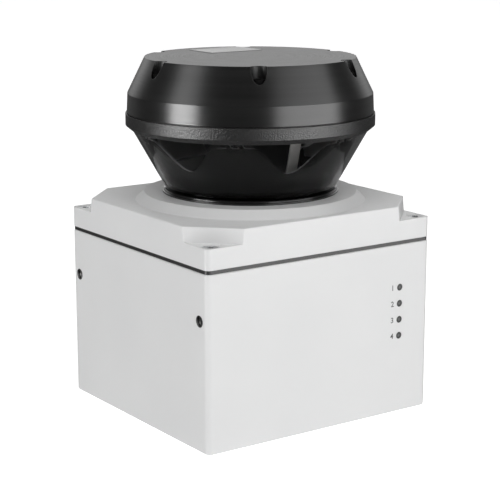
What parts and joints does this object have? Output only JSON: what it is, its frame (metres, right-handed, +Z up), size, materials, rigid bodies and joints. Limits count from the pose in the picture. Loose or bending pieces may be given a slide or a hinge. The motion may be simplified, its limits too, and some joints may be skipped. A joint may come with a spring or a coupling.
{
  "type": "lidar scanner module",
  "caption": "Outdoor 2-D lidar scanner: painted base box, conical tinted window and black turned head with a motor-driven scan mirror inside.",
  "frame": {"origin": "on the scan axis, in the plane of the base", "axes": "+Z up the scan axis, -Y out of the face with the four status lamps, +X to the right seen from that face"},
  "size_m": [0.15, 0.1554, 0.1995],
  "materials": {
    "light_grey_paint": "satin powder coat on cast aluminium",
    "black_rubber": "matt moulded rubber",
    "steel_screws": "stainless, turned",
    "black_screws": "black oxide",
    "gloss_black": "polished black",
    "tinted_window": "deep tinted, polished, infrared clear",
    "black_anodised": "matt black anodised",
    "black_plastic": "moulded, fine grain",
    "sensor_nose": "clear dark epoxy",
    "circuit_board": "green solder mask",
    "rough_black": "coarse sandy coating",
    "black_turned_cap": "turned and black anodised, fine circular brushing",
    "grey_label": "blank polyester label",
    "plain_aluminium": "machined",
    "bearing_steel": "ground",
    "bearing_cage": "pressed brass",
    "core_steel": "stacked laminations, lacquered",
    "copper_wire": "enamelled copper",
    "clear_glass": "polished, coated",
    "plain_brass": "gold plated",
    "heater_film": "amber polyimide film",
    "lamp_lens": "smoked clear acrylic",
    "nickel_brass": "nickel plated, satin",
    "flat_cable": "polyimide flat cable on a stiffener",
    "magnet": "nickel plated, pressed",
    "encoder_steel": "etched thin steel",
    "front_mirror": "front silvered, ground edge"
  },
  "bodies": {
    "base": {"base_housing": "light_grey_paint", "housing_gasket": "black_rubber", "top_cover": "light_grey_paint", "cover_screws": "steel_screws", "window_foot_ring": "gloss_black", "window_seal": "black_rubber", "optical_window": "tinted_window", "upper_window_seal": "black_rubber", "optics_deck": "black_anodised", "light_baffle": "black_plastic", "window_sensors": "sensor_nose", "sensor_ring_board": "circuit_board", "deck_screws": "steel_screws", "head_ring": "rough_black", "cap_seal": "black_rubber", "head_cap": "black_turned_cap", "cap_screws": "black_screws", "blank_label": "grey_label", "head_deck": "plain_aluminium", "bearing_outer_races": "bearing_steel", "stator_core": "core_steel", "stator_coils": "copper_wire", "drive_board": "circuit_board", "encoder_reader": "black_plastic", "lens_barrel": "black_anodised", "receiver_lens": "clear_glass", "lens_retainer": "black_anodised", "laser_tube": "plain_brass", "laser_lens": "clear_glass", "laser_diode": "plain_brass", "detector_board": "circuit_board", "photodiode": "plain_brass", "heater_ring": "heater_film", "main_board": "circuit_board", "power_board": "circuit_board", "lamp_board": "circuit_board", "lamp_light_pipes": "lamp_lens", "rear_connector_shells": "nickel_brass", "rear_connector_inserts": "black_plastic", "rear_connector_pins": "plain_brass", "rear_connector_seals": "black_rubber", "rear_connector_nuts": "nickel_brass", "pressure_vent": "black_plastic", "earth_screw": "steel_screws", "connector_wiring": "black_rubber", "head_flat_cable": "flat_cable", "board_components": "black_plastic", "board_posts": "nickel_brass", "board_screws": "steel_screws"},
    "rotor": {"motor_shaft": "bearing_steel", "rotor_bell": "core_steel", "rotor_magnets": "magnet", "encoder_disc": "encoder_steel", "shaft_screw": "steel_screws", "mirror_drum": "black_anodised", "scan_mirror": "front_mirror", "bearing_inner_races": "bearing_steel"},
    "ball_sets": {"bearing_balls": "bearing_steel", "bearing_cages": "bearing_cage"}
  },
  "joints": [
    {"name": "scan_spin", "type": "hinge", "parent": "base", "child": "rotor", "pos_m": [0, 0, 0.146], "axis": [0, 0, 1], "continuous": true},
    {"name": "ball_orbit", "type": "hinge", "parent": "base", "child": "ball_sets", "pos_m": [0, 0, 0.173], "axis": [0, 0, 1], "continuous": true}
  ],
  "couplings": [
    {"joint": "ball_orbit", "follows": "scan_spin", "ratio": 0.40574}
  ]
}
